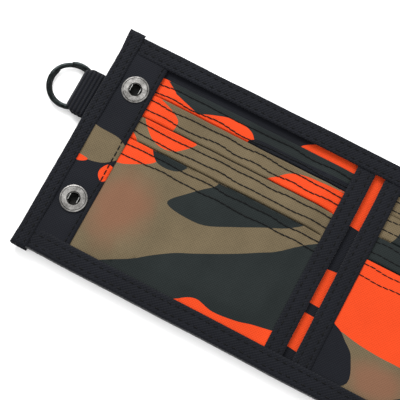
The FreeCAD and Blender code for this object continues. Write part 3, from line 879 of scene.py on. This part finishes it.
path = webbing_path()
build = Build()
rows, travel = [], [0.0]
for (ax, az), (bx, bz) in zip(path, path[1:]):
    travel.append(travel[-1] + math.hypot(bx - ax, bz - az))
half_web = (LOOP_HIGH[1] - LOOP_LOW[1]) / 2
mid_web = (LOOP_HIGH[1] + LOOP_LOW[1]) / 2
for n, (x, z) in enumerate(path):
    a, b = path[max(0, n - 1)], path[min(len(path) - 1, n + 1)]
    normal = Vector((-(b[1] - a[1]), b[0] - a[0])).normalized()
    half = NECK + (half_web - NECK) * ease((x - LOOP_LOW[0] - 0.6) / 3.2)
    rib = 0.15 * math.sin(travel[n] * math.tau / 1.7) * ease((x - LOOP_LOW[0] - 1.5) / 1.5)
    row = []
    for side in (1, -1):
        for j in range(13):
            t = (j / 6 - 1) * side
            h = side * (WEB_THICK / 2 + (rib if side < 0 else 0)) * (1 - 0.35 * abs(t) ** 8)
            row.append((x - normal[0] * h, mid_web + half * t, z - normal[1] * h))
    rows.append(row)
build.grid(rows, 0, wrap=True, caps=True, flat=lambda i, j, p: (travel[i], p[1]))
loop = build.done("key_loop_webbing", WEB)
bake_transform(loop)
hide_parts("key_loop")

build = Build()
wire_w, wire_h = 2.1, 0.86  # the flattened wire's section
first_end = math.radians(152)
turns, steps = 1.9, 192  # under two turns, so that the gap between the coil's ends shows
rows = []
for i in range(steps + 1):
    t = i / steps
    angle = first_end + t * turns * math.tau
    step_over = ease((t - 0.44) / 0.12)
    z = RING_Z + (step_over - 0.5) * (wire_h + 0.12)
    tip = min(1.0, 0.72 + 0.28 * min(t, 1 - t) * steps / 3)
    row = []
    for a in angles(12):
        c, s = math.cos(a), math.sin(a)
        dr = math.copysign(abs(c) ** 0.55, c) * wire_w / 2 * tip
        dz = math.copysign(abs(s) ** 0.7, s) * wire_h / 2 * tip
        r = RING_R - 0.2 - wire_w / 2 + dr + 0.2 * (step_over * 2 - 1)
        row.append((RING_X + r * math.cos(angle), RING_Y + r * math.sin(angle), z + dz))
    rows.append(row)
build.grid(rows, 0, wrap=True, caps=True, flat=lambda i, j, p: (i * 0.6, j * 0.5))
ring = build.done("split_ring_coils", BLACK_NICKEL)
attach(ring, "key_ring_body")
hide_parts("key_ring")

# ---------------------------------------------------------------- metal kept from the CAD

for node in ("snap_sockets", "snap_caps", "snap_studs", "snap_stud_washers",
             "coin_snap_stud", "coin_snap_socket", "coin_snap_cap"):
    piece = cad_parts[node]
    for place in piece.material_slots:
        place.material = NICKEL

# Painted shade: a dark cup inside each socket's recess, where the hole lies in shadow, and dark rings at the flange's
# rim and lip.
build = Build()
for y in SNAP_YS:
    recess = SOCKETS_HIGH[2]
    cup = [(r, recess - d) for r, d in ((2.42, 0.35), (2.42, 1.7), (2.0, 2.0), (0.02, 2.03))]
    rings = [[(SNAP_X + r * math.cos(a), y + r * math.sin(a), z) for a in angles(28)] for r, z in cup]
    build.grid(rings, 0, wrap=True)
    for radius, z in ((4.95, 0.0), (2.75, 0.02)):  # painted shade: thin dark rings along the flange's rim and the recess's lip, where the metal turns away from the light
        rows = []
        for k in range(49):
            a = k * math.tau / 48
            rows.append([
                (SNAP_X + (radius + 0.16 * math.cos(q)) * math.cos(a),
                 y + (radius + 0.16 * math.cos(q)) * math.sin(a),
                 recess + z - 0.06 + 0.09 * math.sin(q))
                for q in angles(8)
            ])
        build.grid(rows, 0, wrap=True)
cups = build.done("snap_recess_painted_shade", SHADE)
attach(cups, "left_panel")

build = Build()
for y in SNAP_YS:
    for sign in (1, -1):
        wire = []
        for i in range(15):
            t = i / 14 * 2 - 1
            x = SNAP_X + sign * (1.9 + 0.06 * math.cos(t * math.pi / 2))
            wire.append(Vector((x, y + t * 1.35, SOCKETS_HIGH[2] - 0.25)))  # clear of the stud when shut
        rows = []
        for i, p in enumerate(wire):
            d = (wire[min(i + 1, 14)] - wire[max(i - 1, 0)]).normalized()
            side = d.cross(Vector((0, 0, 1))).normalized()
            rows.append([
                p + (side * math.cos(q) + Vector((0, 0, 1)) * math.sin(q)) * 0.17 for q in angles(8)
            ])
        build.grid(rows, 0, wrap=True, caps=True)
springs = build.done("snap_spring_wires", SPRING)
attach(springs, "left_panel")
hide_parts("snap_springs")

# ---------------------------------------------------------------- room

mesh = bpy.data.meshes.new("floor")
mesh.from_pydata([(x, y, -0.0002) for x, y in ((-3, -3), (3, -3), (3, 3), (-3, 3))], [], [(0, 1, 2, 3)])
floor = bpy.data.objects.new("floor", mesh)
bpy.context.scene.collection.objects.link(floor)
paper, tree, shader = material("white_paper")
grain = add(tree, "ShaderNodeTexNoise", Scale=300.0, Detail=2.0)
tree.links.new(mixed(tree, grain.outputs[0], (0.94, 0.94, 0.94), (0.97, 0.97, 0.97)), shader.inputs["Base Color"])
shader.inputs["Roughness"].default_value = 0.95
shader.inputs["Specular IOR Level"].default_value = 0.0
mesh.materials.append(paper)

world = bpy.data.worlds.new("studio")
bpy.context.scene.world = world
world.use_nodes = True
world.node_tree.nodes["Background"].inputs[0].default_value = (1, 1, 1, 1)
world.node_tree.nodes["Background"].inputs[1].default_value = 1.18


def softbox(name, at, size, power):
    lamp = bpy.data.lights.new(name, "AREA")
    lamp.shape, lamp.size, lamp.energy = "SQUARE", size, power
    box = bpy.data.objects.new(name, lamp)
    box.location = at
    box.rotation_euler = (Vector((0, 0, 0)) - Vector(at)).to_track_quat("-Z", "Y").to_euler()
    bpy.context.scene.collection.objects.link(box)


softbox("window", (-0.9, 1.0, 1.1), 0.9, 34)
softbox("fill", (1.1, -0.6, 1.4), 1.4, 8)

# Plain colours: the default film-like transform greys the orange.
bpy.context.scene.view_settings.view_transform = "Standard"

camera_data = bpy.data.cameras.new("camera")
camera = bpy.data.objects.new("camera", camera_data)
bpy.context.scene.collection.objects.link(camera)
camera_data.lens, camera_data.sensor_width = 130.0, 36.0
tilt, turn = math.radians(14.5), math.radians(27.9)
look = Matrix.Rotation(turn, 3, "Z") @ Matrix.Rotation(tilt, 3, "X")
camera.location = Vector((-0.1078, 0.0008, 0)) + look @ Vector((0, 0, 0.5805))
camera.rotation_euler = (tilt, 0, turn)
bpy.context.scene.camera = camera
